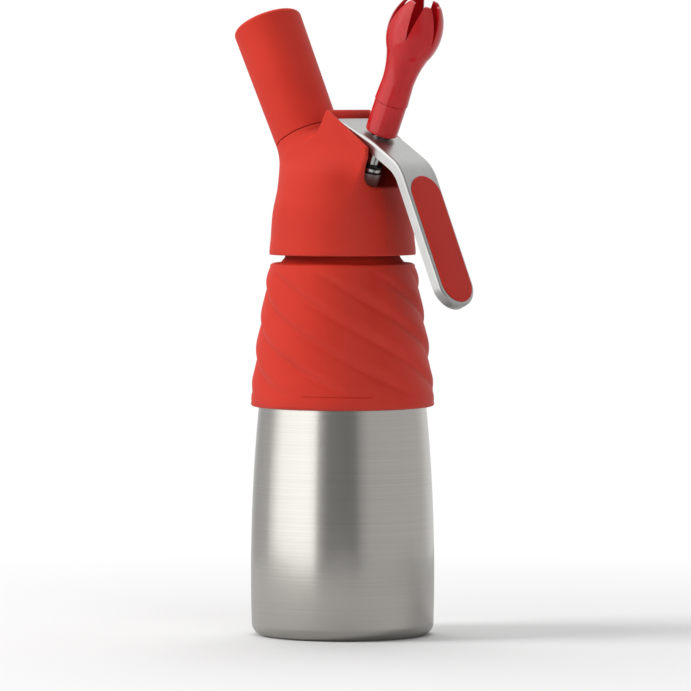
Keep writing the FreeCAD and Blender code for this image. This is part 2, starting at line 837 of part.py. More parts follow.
def strip(top, bottom, start_back, end_back):
    """Side outline of the bent strip between two depths under its top face."""
    first_half = tangent((d.middle_drop - plate_drop) / 2) * d.first_bend
    second_half = tangent((d.grip_drop - d.middle_drop) / 2) * d.second_bend
    stations = [
        (hinge_x - start_back * cosine(plate_drop), hinge_z + start_back * sine(plate_drop),
         plate_drop, None),
        (first_x - first_half * cosine(plate_drop), first_z + first_half * sine(plate_drop), plate_drop,
         d.first_bend),
        (first_x + first_half * cosine(d.middle_drop), first_z - first_half * sine(d.middle_drop),
         d.middle_drop, None),
        (second_x - second_half * cosine(d.middle_drop), second_z + second_half * sine(d.middle_drop),
         d.middle_drop, d.second_bend),
        (second_x + second_half * cosine(d.grip_drop), second_z - second_half * sine(d.grip_drop),
         d.grip_drop, None),
        (tip_x - end_back * cosine(d.grip_drop), tip_z + end_back * sine(d.grip_drop), d.grip_drop, None),
    ]
    outline = []
    for x, z, drop, bend in stations:
        spot = under(x, z, drop, top)
        outline.append(spot + (top - bend,) if bend else spot)
    for index in reversed(range(len(stations))):
        x, z, drop, bend = stations[index]
        before = stations[index - 1][3] if index else None
        spot = under(x, z, drop, bottom)
        outline.append(spot + (before - bottom,) if before else spot)
    return outline


class Grip:
    """Frame of the grip: its axis is square to the grip's face, at the centre of the round end."""

    def __init__(self):
        self.tilt = d.grip_drop

    def place(self, thing, depth, back=0):
        reach = end_radius + back
        x, z = under(tip_x - reach * cosine(self.tilt), tip_z + reach * sine(self.tilt), self.tilt, depth)
        place(thing, x, z, self.tilt)


GRIP = Grip()


def grip_disc(name, radius, top, bottom, back=0):
    """A cylinder square to the grip's face, between two depths under it."""
    solid = doc.addObject("Part::Cylinder", name)
    solid.Radius = radius.number
    solid.setExpression("Radius", radius.text)
    solid.Height = (bottom - top).number
    solid.setExpression("Height", (bottom - top).text)
    GRIP.place(solid, bottom, back)
    return solid


def grip_slab(name, width, length, top, bottom):
    """A block square to the grip's face, running back from the centre of the round end."""
    solid = doc.addObject("Part::Box", name)
    solid.Length = length.number
    solid.setExpression("Length", length.text)
    solid.Width = width.number
    solid.setExpression("Width", width.text)
    solid.Height = (bottom - top).number
    solid.setExpression("Height", (bottom - top).text)
    GRIP.place(solid, bottom, length)
    solid.setExpression("Placement.Base.y", (width / -2).text)
    return solid


zero = as_size(0)
blank = fused("lever_blank", [
    padded("lever_strip", strip(zero, d.rim_depth, zero, end_radius), d.lever_width),
    grip_disc("lever_round", end_radius, zero, d.rim_depth),
    cross_rod("lever_ears", d.ear_radius, d.lever_width, pivot_x, pivot_z),
])


def top_edge(edge):
    """Outer edges of the lever's top face: they lie on its sides or round its end."""
    box = edge.BoundBox
    on_side = abs(abs(box.YMin) - end_radius.number) < 0.01 and box.YLength < 0.01
    round_end = edge.Curve.TypeId == "Part::GeomCircle" and box.YLength > 1
    middle = edge.valueAt((edge.FirstParameter + edge.LastParameter) / 2)
    if not (on_side or round_end):
        return False
    return lever_depth(middle) < d.rim_depth.number / 4


def lever_depth(point):
    """How far a point lies under the lever's top face."""
    drops = [
        (hinge_x.number, hinge_z.number, plate_drop.number),
        (second_x.number, second_z.number, d.middle_drop.number),
        (tip_x.number, tip_z.number, d.grip_drop.number),
    ]
    depths = []
    for x, z, drop in drops:
        angle = math.radians(drop)
        depths.append((x - point.x) * math.sin(angle) + (z - point.z) * math.cos(angle))
    return min(depths)


inner_width = d.lever_width - 2 * d.rim_thickness
inner_round = end_radius - d.rim_thickness
trough = strip(d.plate_thickness, d.rim_depth + d.trough_reach, as_size(5), end_radius)
hollow = fused("lever_hollow", [
    padded("lever_trough", trough, inner_width),
    grip_disc("lever_cup", inner_round, d.plate_thickness, d.rim_depth + 1),
])
slot_reach = (d.slot_length - d.slot_width) / 2
slot_foot = d.plate_height - d.plate_thickness - 1
slot_round = d.slot_width / 2
slot_block = doc.addObject("Part::Box", "slot_block")
slot_block.setExpression("Length", (slot_reach * 2).text)
slot_block.setExpression("Width", d.slot_width.text)
slot_block.setExpression("Height", (d.plate_thickness + 2).text)
set_frame(slot_block, VALVE, -slot_reach, slot_foot)
slot_block.setExpression("Placement.Base.y", (-slot_round).text)
slot = fused("stem_slot", [
    slot_block,
    rod("slot_back", slot_round, slot_foot, d.plate_thickness + 2, VALVE, -slot_reach),
    rod("slot_front", slot_round, slot_foot, d.plate_thickness + 2, VALVE, slot_reach),
])
pad_round = d.pad_width / 2
pad_run = d.pad_length - d.pad_width


def pad_solid(name, top):
    """Obround slab of the pad, from a height over the grip's face down to its recess."""
    return fused(name, [
        grip_slab(name + "_middle", d.pad_width, pad_run, top, d.pad_sink),
        grip_disc(name + "_low", pad_round, top, d.pad_sink),
        grip_disc(name + "_high", pad_round, top, d.pad_sink, pad_run),
    ])


ear_hole = cross_rod("ear_hole", d.pivot_radius + d.pivot_fit, d.lever_width + 2, pivot_x, pivot_z)
soft_blank = rounded("lever_soft", blank, d.lever_edge, top_edge)
lever_tools = [hollow, slot, pad_solid("pad_recess", as_size(-3)), ear_hole]
part("lever", cut("lever_pressing", soft_blank, lever_tools))
pad_blank = pad_solid("pad_blank", -d.pad_proud)
part("lever_pad", pad_blank)
part("lever_pin", cross_rod("pivot_pin", d.pivot_radius, d.pivot_length, pivot_x, pivot_z))

# Check every object, then write each sub-part

doc.recompute()
failed = [thing.Name for thing in doc.Objects if "Invalid" in thing.State or "Error" in thing.State]
for name, thing in PARTS.items():
    if thing.Shape.isNull() or not thing.Shape.isValid() or not thing.Shape.Solids:
        failed.append(name)
if failed:
    raise SystemExit("not built: " + ", ".join(failed))
for name, thing in PARTS.items():
    thing.Shape.exportStep(f"parts/{name}.step")
    print(f"{name}: {len(thing.Shape.Solids)} solid, {thing.Shape.Volume:.1f} mm3")
print(f"{len(PARTS)} sub-parts")
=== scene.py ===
import math

import bpy
import numpy as np
from mathutils import Matrix, Vector


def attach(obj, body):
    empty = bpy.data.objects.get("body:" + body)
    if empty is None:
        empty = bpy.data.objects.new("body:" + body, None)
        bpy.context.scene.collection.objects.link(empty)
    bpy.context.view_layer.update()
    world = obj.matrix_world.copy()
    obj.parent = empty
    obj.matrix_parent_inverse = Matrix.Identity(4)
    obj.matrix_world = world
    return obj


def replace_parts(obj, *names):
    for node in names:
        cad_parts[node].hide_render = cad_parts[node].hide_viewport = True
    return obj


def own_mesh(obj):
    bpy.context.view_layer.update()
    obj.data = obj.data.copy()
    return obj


# Whipped cream dispenser, dressed for its picture. Lengths are millimetres until a mesh is made.

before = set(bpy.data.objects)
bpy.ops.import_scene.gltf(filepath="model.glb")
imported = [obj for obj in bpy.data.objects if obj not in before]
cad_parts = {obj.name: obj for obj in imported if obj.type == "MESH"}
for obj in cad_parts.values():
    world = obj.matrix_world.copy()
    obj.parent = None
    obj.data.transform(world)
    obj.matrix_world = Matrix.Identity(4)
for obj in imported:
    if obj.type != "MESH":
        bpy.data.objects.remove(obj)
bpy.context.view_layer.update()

MM = 0.001

# The two leaning lines of the head, each from the height where it leaves the bottle's axis
VALVE_HEIGHT, VALVE_TILT = 172.8, math.radians(25.0)
CHARGER_HEIGHT, CHARGER_TILT = 180.0, math.radians(-27.4)
GRIP_DROP = math.radians(65.0)


# Nodes and colours


def linear(hex_colour):
    """An sRGB hex colour as the linear colour that a shader takes."""
    channels = [int(hex_colour[i:i + 2], 16) / 255 for i in (1, 3, 5)]
    return (*(c / 12.92 if c <= 0.04045 else ((c + 0.055) / 1.055) ** 2.4 for c in channels), 1.0)


def add(tree, kind, inputs=(), **settings):
    """Adds a node with its settings. An input is given a value, or a node or socket to link from."""
    node = tree.nodes.new(kind)
    for name, value in settings.items():
        setattr(node, name, value)
    for name, value in dict(inputs).items():
        shown = [i for i in node.inputs if i.enabled and i.name == name]
        socket = shown[0] if shown else node.inputs[name]
        if isinstance(value, bpy.types.Node):
            value = [i for i in value.outputs if i.enabled][0]
        if isinstance(value, bpy.types.NodeSocket):
            tree.links.new(value, socket)
        else:
            socket.default_value = value
    return node


def surface(name, **sockets):
    """A new material with one Principled surface, the object's coordinates and its output."""
    material = bpy.data.materials.new(name)
    material.use_nodes = True
    tree = material.node_tree
    tree.nodes.clear()
    shader = add(tree, "ShaderNodeBsdfPrincipled", {k.replace("_", " "): v for k, v in sockets.items()})
    add(tree, "ShaderNodeOutputMaterial", {"Surface": shader})
    place = add(tree, "ShaderNodeTexCoord").outputs["Object"]
    return material, tree, shader, place


def grain(tree, place, scale, stretch=(1, 1, 1), turn=(0, 0, 0), detail=3.0):
    """Noise over the object's coordinates, with stretch above 1 where the pattern is finer."""
    mapped = add(tree, "ShaderNodeMapping", {"Vector": place, "Scale": stretch, "Rotation": turn})
    return add(tree, "ShaderNodeTexNoise", {"Vector": mapped, "Scale": scale, "Detail": detail}).outputs[0]


def shade(tree, factor, dark, pale):
    """A colour between two hex colours, mixed by a factor that lies mostly from 0.3 to 0.7, as noise does."""
    stops = add(tree, "ShaderNodeValToRGB", {"Fac": factor}).color_ramp.elements
    stops[0].position, stops[0].color = 0.3, linear(dark)
    stops[1].position, stops[1].color = 0.7, linear(pale)
    return tree.nodes[-1]


def relief(tree, shader, height, depth):
    """Gives the surface a bump as deep as depth, in metres."""
    bump = add(tree, "ShaderNodeBump", {"Height": height, "Distance": depth, "Strength": 0.6})
    tree.links.new(bump.outputs["Normal"], shader.inputs["Normal"])


def spun_stainless():
    """Stainless steel spun and brushed in rings: fine level scratches that smear its highlights upright."""
    material, tree, shader, place = surface(
        "Spun and brushed stainless steel", Metallic=1.0, Roughness=0.19, Anisotropic=0.5)
    # The real scratches are about 0.1 mm apart: they are drawn 0.3 mm apart, so that they show
    scratches = grain(tree, place, 1.0, stretch=(11, 11, 3000), detail=2.0)
    tree.links.new(shade(tree, scratches, "#C5C2BC", "#CCC9C3").outputs[0], shader.inputs["Base Color"])
    tangent = add(tree, "ShaderNodeTangent", direction_type="RADIAL", axis="Z")
    tree.links.new(tangent.outputs[0], shader.inputs["Tangent"])
    relief(tree, shader, scratches, 0.000002)
    return material


def satin_stainless():
    """Stainless sheet, pressed and then brushed along its length: a soft grey with a fine grain."""
    material, tree, shader, place = surface("Satin stainless sheet", Metallic=1.0, Roughness=0.34)
    # Grain lines 0.3 mm apart run down the grip
    lines = grain(tree, place, 1.0, stretch=(60, 3200, 60), turn=(0, GRIP_DROP, 0), detail=3.0)
    tree.links.new(shade(tree, lines, "#B6B6B5", "#C2C2C0").outputs[0], shader.inputs["Base Color"])
    relief(tree, shader, lines, 0.000008)
    return material


def turned_stainless():
    """The valve guide, turned and left as cut: a soft silver that light fills even inside the head."""
    material, tree, shader, place = surface("Turned stainless steel", Metallic=1.0, Roughness=0.42)
    marks = grain(tree, place, 1.0, stretch=(40, 40, 2500))
    tree.links.new(shade(tree, marks, "#D2D2D0", "#E2E2E0").outputs[0], shader.inputs["Base Color"])
    return material


def polished_stainless():
    """Turned stainless, polished: a mirror with faint turning marks 0.5 mm apart."""
    material, tree, shader, place = surface("Polished stainless steel", Metallic=1.0, Roughness=0.12)
    marks = grain(tree, place, 1.0, stretch=(40, 40, 2000))
    tree.links.new(shade(tree, marks, "#C6C6C4", "#D8D8D6").outputs[0], shader.inputs["Base Color"])
    return material


def moulded_silicone(name, dark, pale, roughness):
    """Silicone rubber, moulded in a lightly blasted tool: matt, with a skin about 0.3 mm fine."""
    material, tree, shader, place = surface(name, Roughness=roughness, IOR=1.41)
    clouds = grain(tree, place, 45.0)
    tree.links.new(shade(tree, clouds, dark, pale).outputs[0], shader.inputs["Base Color"])
    relief(tree, shader, grain(tree, place, 3300.0), 0.00002)
    return material, tree, shader, place


def parted_silicone():
    """The same silicone on the head cover, where the tool's halves leave a fine upright line."""
    material, tree, shader, place = moulded_silicone(
        "Moulded red silicone with a parting line", "#C02C1D", "#C63121", 0.55)
    # In metres: half the line's width, its height, and how far out the front of the head starts
    front_turn, line_half, line_height, front_from = math.radians(6.5), 0.0004, 0.0002, 0.02
    turned = add(tree, "ShaderNodeMapping", {"Vector": place, "Rotation": (0, 0, front_turn)})
    axes = add(tree, "ShaderNodeSeparateXYZ", {0: turned}).outputs
    aside = add(tree, "ShaderNodeMath", {0: axes["Y"]}, operation="ABSOLUTE")
    line = add(tree, "ShaderNodeMapRange", {
        "Value": aside, "From Max": line_half, "To Min": 1.0, "To Max": 0.0}, interpolation_type="SMOOTHSTEP")
    front = add(tree, "ShaderNodeMath", {0: axes["X"], 1: front_from}, operation="GREATER_THAN")
    raised = add(tree, "ShaderNodeMath", {0: line, 1: front}, operation="MULTIPLY")
    skin = shader.inputs["Normal"].links[0].from_node
    ridge = add(tree, "ShaderNodeBump", {"Height": raised, "Distance": line_height, "Normal": skin})
    tree.links.new(ridge.outputs["Normal"], shader.inputs["Normal"])
    return material


def glossy_plastic():
    """Polypropylene from a polished tool: strong clear highlights over one even red."""
    material, tree, shader, place = surface("Glossy moulded polypropylene", Roughness=0.16, IOR=1.49)
    flow = grain(tree, place, 60.0)
    tree.links.new(shade(tree, flow, "#BC161A", "#C61D22").outputs[0], shader.inputs["Base Color"])
    relief(tree, shader, flow, 0.00006)
    return material


def plain_finish(name, dark, pale, roughness, metallic, fineness):
    """A finish that only shows in gaps and from below: its grain is fineness spots to the metre."""
    material, tree, shader, place = surface(name, Metallic=metallic, Roughness=roughness)
    spots = grain(tree, place, fineness)
    tree.links.new(shade(tree, spots, dark, pale).outputs[0], shader.inputs["Base Color"])
    relief(tree, shader, spots, 0.00003)
    return material


BOTTLE_STEEL = spun_stainless()
LEVER_STEEL = satin_stainless()
BRIGHT_STEEL = polished_stainless()
TURNED_STEEL = turned_stainless()
RED_SILICONE = moulded_silicone("Moulded red silicone", "#C02C1D", "#C63121", 0.55)[0]
HEAD_SILICONE = parted_silicone()
PAD_SILICONE = moulded_silicone("Moulded red silicone pad", "#B4241A", "#BB281D", 0.5)[0]
RED_PLASTIC = glossy_plastic()
# Nitrile rubber for seals: nearly black, with a slight gloss
BLACK_RUBBER = plain_finish("Black nitrile rubber", "#0E0E0E", "#171717", 0.45, 0.0, 2500.0)
# Natural silicone for the gasket and the valve disc: milky and soft
PALE_SILICONE = plain_finish("Natural silicone", "#C8C3B8", "#D6D1C6", 0.5, 0.0, 1500.0)
# Pressure die casting, blasted: grey, with a grit of 0.5 mm
CAST_ALUMINIUM = plain_finish("Blasted cast aluminium", "#A9AAAB", "#BDBEBF", 0.42, 1.0, 2000.0)
TURNED_BRASS = plain_finish("Turned brass", "#B48A3E", "#C69A4A", 0.28, 1.0, 1800.0)
# Zinc plate over drawn steel, as on gas chargers
ZINC_PLATE = plain_finish("Zinc plated steel", "#B4B8BB", "#C6CACD", 0.26, 1.0, 900.0)

FINISHES = {
    "bottle": BOTTLE_STEEL,
    "bottle_sleeve": RED_SILICONE,
    "head_gasket": PALE_SILICONE,
    "head_body": CAST_ALUMINIUM,
    "head_cover": HEAD_SILICONE,
    "inlet_valve": TURNED_BRASS,
    "piercing_pin": BRIGHT_STEEL,
    "charger_seal": BLACK_RUBBER,
    "gas_charger": ZINC_PLATE,
    "charger_holder": CAST_ALUMINIUM,
    "holder_cover": RED_SILICONE,
    "valve_guide": TURNED_STEEL,
    "stem_seal": BLACK_RUBBER,
    "cap_seal": BLACK_RUBBER,
    "valve_cap": BRIGHT_STEEL,
    "stem_wiper": BLACK_RUBBER,
    "valve_stem": BRIGHT_STEEL,
    "valve_disc": PALE_SILICONE,
    "valve_spring": BRIGHT_STEEL,
    "nozzle_adapter": RED_PLASTIC,
    "nozzle_seal": BLACK_RUBBER,
    "nozzle_tip": RED_PLASTIC,
    "lever": LEVER_STEEL,
    "lever_pad": PAD_SILICONE,
    "lever_pin": BRIGHT_STEEL,
}
for node, finish in FINISHES.items():
    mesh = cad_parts[node].data
    mesh.materials.clear()
    mesh.materials.append(finish)


# Meshes


def piece_from(name, points, faces, material, smooth=True):
    """A mesh object at the origin, from points in millimetres."""
    if isinstance(faces, np.ndarray):
        faces = faces.tolist()
    mesh = bpy.data.meshes.new(name)
    mesh.from_pydata((np.asarray(points, float) * MM).tolist(), [], faces)
    mesh.materials.append(material)
    mesh.polygons.foreach_set("use_smooth", [smooth] * len(mesh.polygons))
    mesh.update()
    piece = bpy.data.objects.new(name, mesh)
    bpy.context.scene.collection.objects.link(piece)
    return piece


def baked(piece):
    """The same piece with its modifiers made into its mesh."""
    evaluated = piece.evaluated_get(bpy.context.evaluated_depsgraph_get())
    mesh = bpy.data.meshes.new_from_object(evaluated)
    piece.modifiers.clear()
    piece.data = mesh
    return piece


def shaped_by(piece, tree, sizes, material):
    """The piece after a node tree has run on it with these sizes and this material."""
    modifier = piece.modifiers.new(tree.name, "NODES")
    modifier.node_group = tree
    for item in tree.interface.items_tree:
        if item.in_out == "INPUT" and item.name in sizes:
            modifier[item.identifier] = sizes[item.name]
        elif item.in_out == "INPUT" and item.name == "Material":
            modifier[item.identifier] = material
    return baked(piece)


def lathe(profile, turns):
    """Points and faces of a closed profile, given as radius and height, spun round the upright axis."""
    profile = np.asarray(profile, float)
    angles = np.arange(turns) * 2 * math.pi / turns
    radius, height = profile[:, 0], profile[:, 1]
    points = np.stack([np.outer(np.cos(angles), radius), np.outer(np.sin(angles), radius),
                       np.tile(height, (turns, 1))], axis=-1).reshape(-1, 3)
    rows = len(profile)
    turn, row = np.meshgrid(np.arange(turns), np.arange(rows), indexing="ij")
    after, above = (turn + 1) % turns, (row + 1) % rows
    faces = np.stack([turn * rows + row, after * rows + row, after * rows + above, turn * rows + above], -1)
    return points, faces.reshape(-1, 4)


# Sleeve: swirling flutes on a gently bulging wall, with a level fill line near its lip

# Height and radius up the outside, then radius and height over the neck and down into it
SLEEVE_OUTSIDE = [
    (102.2, 39.4), (102.5, 40.4), (103.2, 41.0), (104.4, 41.05), (107.6, 40.7), (111.2, 40.25),
    (118.3, 39.15), (125.5, 38.4), (132.6, 37.7), (139.8, 36.6), (146.9, 35.3), (154.1, 34.35),
    (161.2, 33.25), (164.2, 32.75), (165.4, 32.3), (166.1, 31.4), (166.4, 30.2),
]
SLEEVE_NECK = [
    (28.2, 166.4), (27.2, 167.0), (25.9, 168.6), (25.2, 170.6), (24.0, 171.2), (23.0, 171.2), (23.0, 167.5),
]
# The barrel under the sleeve: its widest radius, the height of that, and the radius of its long arc
BARREL_RADIUS, BARREL_WIDE_HEIGHT, BARREL_SWEEP = 41.0, 27.0, 792.0
FLUTES = {
    "Flute count": 8.0,
    "Flute depth": 1.8 * MM,
    "Fall per radian": 20.0 * MM,
    "Crease height": 136.6 * MM,
    "Crease angle": math.radians(-38.6),
    "Lowest": 106.0 * MM,
    "Highest": 166.0 * MM,
    "Fade": 9.0 * MM,
}


def flute_tree():
    """Geometry nodes that press swirling flutes into an upright round wall."""
    lobe_lean, crease_rounding, lobe_middle = 0.28, 0.01, 0.66
    tree = bpy.data.node_groups.new("Swirling flutes", "GeometryNodeTree")
    tree.interface.new_socket("Wall", in_out="INPUT", socket_type="NodeSocketGeometry")
    for name, value in FLUTES.items():
        tree.interface.new_socket(name, in_out="INPUT", socket_type="NodeSocketFloat").default_value = value
    tree.interface.new_socket("Material", in_out="INPUT", socket_type="NodeSocketMaterial")
    tree.interface.new_socket("Wall", in_out="OUTPUT", socket_type="NodeSocketGeometry")
    size = tree.nodes.new("NodeGroupInput").outputs

    def maths(operation, first, second):
        return add(tree, "ShaderNodeMath", {0: first, 1: second}, operation=operation)

    position = add(tree, "GeometryNodeInputPosition")
    axes = add(tree, "ShaderNodeSeparateXYZ", {0: position}).outputs
    angle = maths("SUBTRACT", maths("ARCTAN2", axes["Y"], axes["X"]), size["Crease angle"])
    rise = maths("DIVIDE", maths("SUBTRACT", axes["Z"], size["Crease height"]), size["Fall per radian"])
    phase = maths("MULTIPLY", maths("ADD", angle, rise), maths("DIVIDE", size["Flute count"], 2.0))
    # Each lobe is steep underneath and gentle on top
    lean = add(tree, "ShaderNodeMath", {0: maths("MULTIPLY", phase, 2.0)}, operation="COSINE")
    skewed = maths("SUBTRACT", phase, maths("MULTIPLY", lean, lobe_lean))
    # A rounded crease between broad lobes: the root of the sine's square, with a little added
    wave = maths("POWER", add(tree, "ShaderNodeMath", {0: skewed}, operation="SINE"), 2.0)
    lobe = maths("SUBTRACT", maths("POWER", maths("ADD", wave, crease_rounding), 0.5), lobe_middle)
    fades = []
    for start, end in (("Lowest", 1.0), ("Highest", -1.0)):
        reach = maths("MULTIPLY", maths("SUBTRACT", axes["Z"], size[start]), end)
        share = add(tree, "ShaderNodeMath", {0: reach, 1: size["Fade"]}, operation="DIVIDE", use_clamp=True)
        fades.append(add(tree, "ShaderNodeMapRange", {"Value": share}, interpolation_type="SMOOTHSTEP"))
    outer = add(tree, "GeometryNodeInputNamedAttribute", {"Name": "outer"}, data_type="FLOAT")
    full_depth = maths("MULTIPLY", size["Flute depth"], outer.outputs["Attribute"])
    depth = maths("MULTIPLY", maths("MULTIPLY", fades[0], fades[1]), full_depth)
    flat = add(tree, "ShaderNodeCombineXYZ", {"X": axes["X"], "Y": axes["Y"]})
    outwards = add(tree, "ShaderNodeVectorMath", {0: flat}, operation="NORMALIZE")
    offset = add(tree, "ShaderNodeVectorMath", {0: outwards, "Scale": maths("MULTIPLY", lobe, depth)},
                 operation="SCALE")
    moved = add(tree, "GeometryNodeSetPosition", {"Geometry": size["Wall"], "Offset": offset})
    real = add(tree, "GeometryNodeRealizeInstances", {"Geometry": moved})
    painted = add(tree, "GeometryNodeSetMaterial", {"Geometry": real, "Material": size["Material"]})
    add(tree, "NodeGroupOutput", {"Wall": painted})
    return tree


def smoothed(heights, table, spread):
    """Radii at the heights, read from a table of (height, radius) and rounded off over a spread."""
    places = np.linspace(-1.5, 1.5, 7)
    weights = np.exp(-places ** 2)
    known, radii = np.array(table).T
    samples = [np.interp(heights + place * spread, known, radii) for place in places]
    return np.tensordot(weights / weights.sum(), samples, 1)


def make_sleeve():
    """The sleeve's closed wall, spun from its outline, cut with the fill line and then fluted."""
    # The fill line is a groove about 0.7 mm wide, cut over the part of the turn that faces the user
    line_height, line_half, line_depth, line_flat = 108.0, 0.35, 0.4, 1.2
    line_from, line_to, line_run_out = math.radians(-71.0), math.radians(-26.0), 0.01
    # The wall's rows are closer together where the line is
    wall_from, wall_to, wall_step = 104.5, 165.0, 0.55
    fine_from, fine_to, fine_step, wall_again = 107.3, 108.75, 0.115, 108.8
    softness = 2.4
    coarse = np.arange(wall_from, wall_to, wall_step)
    fine = np.arange(fine_from, fine_to, fine_step)
    heights = np.sort(np.concatenate([coarse[(coarse < fine_from) | (coarse > wall_again)], fine]))
    rise = smoothed(heights, SLEEVE_OUTSIDE, softness)
    foot = [(radius, height) for height, radius in SLEEVE_OUTSIDE[:3]]
    crown = [(radius, height) for height, radius in SLEEVE_OUTSIDE[-3:]]
    bottle = [(BARREL_RADIUS - BARREL_SWEEP + math.sqrt(BARREL_SWEEP ** 2 - (h - BARREL_WIDE_HEIGHT) ** 2), h)
              for h in (150.0, 138.0, 126.0, 114.0, 102.2)]
    profile = foot + list(zip(rise, heights)) + crown + SLEEVE_NECK + bottle
    turns = 420
    points, faces = lathe(profile, turns)
    outer = np.zeros(len(profile))
    outer[len(foot):len(foot) + len(heights)] = 1.0
    angle = np.arctan2(points[:, 1], points[:, 0])
    depth = np.clip(line_flat - np.abs(points[:, 2] - line_height) / line_half, 0, 1) * line_depth
    ends = np.clip(np.minimum(angle - line_from, line_to - angle) / line_run_out, 0, 1)
    depth *= ends * np.tile(outer, turns)
    radius = np.hypot(points[:, 0], points[:, 1])
    points[:, :2] *= ((radius - depth) / radius)[:, None]
    sleeve = piece_from("fluted_sleeve", points, faces, RED_SILICONE)
    skin = sleeve.data.attributes.new("outer", "FLOAT", "POINT")
    skin.data.foreach_set("value", np.tile(outer, turns).astype(np.float32))
    sleeve = shaped_by(sleeve, flute_tree(), FLUTES, RED_SILICONE)
    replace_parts(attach(sleeve, "bottle"), "bottle_sleeve")


# Head cover: one soft moulding, where skirt, cheeks and charger collar run into each other

# The skirt is given by height and radius, the bell by radius and height, and the rest across and up
SKIRT = [
    (170.0, 32.7), (172.4, 32.7), (176.4, 32.15), (181.0, 31.9), (185.4, 31.6), (189.9, 31.1), (194.3, 29.9),
    (198.8, 28.4), (203.2, 27.2), (206.0, 26.2), (209.0, 24.2), (212.0, 21.0), (215.0, 16.0), (217.3, 9.0),
    (218.0, 0.0),
]
CHEEK = [(-17.0, 199.0), (21.0, 199.0), (22.8, 200.6), (28.5, 213.6), (28.6, 218.2), (3.5, 234.7),
         (-2.8, 224.0), (-17.0, 214.8)]
CHEEK_HALF, CHEEK_INNER_HALF, CHEEK_EDGE, BACK_FACE, WELL_FLOOR = 14.1, 11.5, 1.0, 5.1, 200.4
COLLAR_RADIUS, COLLAR_START, COLLAR_END = 14.85, 18.0, 47.65
HEM_HEIGHT = 170.0
# How far the forms reach into each other where they run together
COLLAR_BLEND, CHEEK_BLEND, WELL_CORNER, WELL_RIM = 13.0, 6.5, 6.0, 1.8
# What the cover is hollow for: the casting's bell, charger boss and pivot lug, and the valve guide
BOSS_RADIUS, BOSS_START = 13.0, 14.6
GUIDE_SPACE, GUIDE_MIDDLE, GUIDE_HALF = 6.1, 30.0, 9.0
BELL = [(0.0, 160.0), (29.7, 160.0), (29.7, 171.6), (28.6, 187.0), (24.6, 198.6), (0.0, 198.6)]
LUG = [(-3.5, 193.5), (4.4, 193.5), (4.4, 198.6), (11.6, 225.0), (8.7, 227.9), (5.8, 225.0), (-3.5, 198.6)]
LUG_HALF = 8.7


def outline_distance(x, y, corners):
    """Distance from a closed outline, negative inside it."""
    corners = np.asarray(corners, float)
    nearest = np.full(x.shape, 1e9)
    inside = np.zeros(x.shape, bool)
    for (ax, ay), (bx, by) in zip(corners, np.roll(corners, -1, axis=0)):
        ex, ey = bx - ax, by - ay
        share = np.clip(((x - ax) * ex + (y - ay) * ey) / (ex * ex + ey * ey), 0, 1)
        nearest = np.minimum(nearest, (x - ax - share * ex) ** 2 + (y - ay - share * ey) ** 2)
        if ey:
            inside ^= ((ay > y) != (by > y)) & (x < ex * (y - ay) / ey + ax)
    return np.sqrt(nearest) * np.where(inside, -1, 1)


def run_together(first, second, reach):
    """Joins two distances with a smooth hollow between them, as wide as reach."""
    share = np.clip(0.5 + 0.5 * (second - first) / reach, 0, 1)
    return second + (first - second) * share - reach * share * (1 - share)


def slab(outline, across, half, edge):
    """A slab's distance, from its outline's distance and its half width, with edges rounded by edge."""
    a, b = outline + edge, np.abs(across) - half + edge
    return np.minimum(np.maximum(a, b), 0) + np.hypot(np.maximum(a, 0), np.maximum(b, 0)) - edge


def leaning(x, z, height, tilt):
    """Coordinates across and along a leaning line."""
    across = x * math.cos(tilt) - (z - height) * math.sin(tilt)
    along = x * math.sin(tilt) + (z - height) * math.cos(tilt)
    return across, along


def skirt_outline():
    """The skirt's half section, rounded off where the points of its table would show."""
    shoulder, top, wall_step, top_step, softness = 212.0, 218.01, 1.5, 0.6, 1.6
    heights = np.concatenate([np.arange(HEM_HEIGHT, shoulder, wall_step), np.arange(shoulder, top, top_step)])
    radii = smoothed(heights, SKIRT, softness)
    radii[0], radii[-1] = SKIRT[0][1], SKIRT[-1][1]
    return [(0.0, HEM_HEIGHT)] + list(zip(radii, heights))


SKIRT_OUTLINE = skirt_outline()


def cover_distance(points):
    """Distance from the head cover's surface at points in millimetres, negative in the rubber."""
    x, y, z = points
    round_axis = np.hypot(x, y)
    skirt = outline_distance(round_axis, z, SKIRT_OUTLINE)
    cheeks = slab(outline_distance(x, z, CHEEK), y, CHEEK_HALF, CHEEK_EDGE)
    across, along = leaning(x, z, CHARGER_HEIGHT, CHARGER_TILT)
    from_charger = np.hypot(across, y)
    collar = np.maximum(from_charger - COLLAR_RADIUS, COLLAR_START - along)
    body = run_together(run_together(skirt, collar, COLLAR_BLEND), cheeks, CHEEK_BLEND)
    body = np.maximum(body, HEM_HEIGHT - z)
    trough = -run_together(CHEEK_INNER_HALF - np.abs(y), z - WELL_FLOOR, WELL_CORNER)
    well = np.maximum(trough, BACK_FACE - x)
    body = -run_together(-body, well, WELL_RIM)
    body = np.maximum(body, along - COLLAR_END)
    bell = outline_distance(round_axis, z, BELL)
    boss = np.maximum(from_charger - BOSS_RADIUS, BOSS_START - along)
    lug = np.maximum(outline_distance(x, z, LUG), np.abs(y) - LUG_HALF)
    valve_across, valve_along = leaning(x, z, VALVE_HEIGHT, VALVE_TILT)
    guide = np.maximum(
        np.hypot(valve_across, y) - GUIDE_SPACE, np.abs(valve_along - GUIDE_MIDDLE) - GUIDE_HALF)
    hollow = np.minimum(np.minimum(bell, boss), np.minimum(lug, guide))
    return np.maximum(body, -hollow)


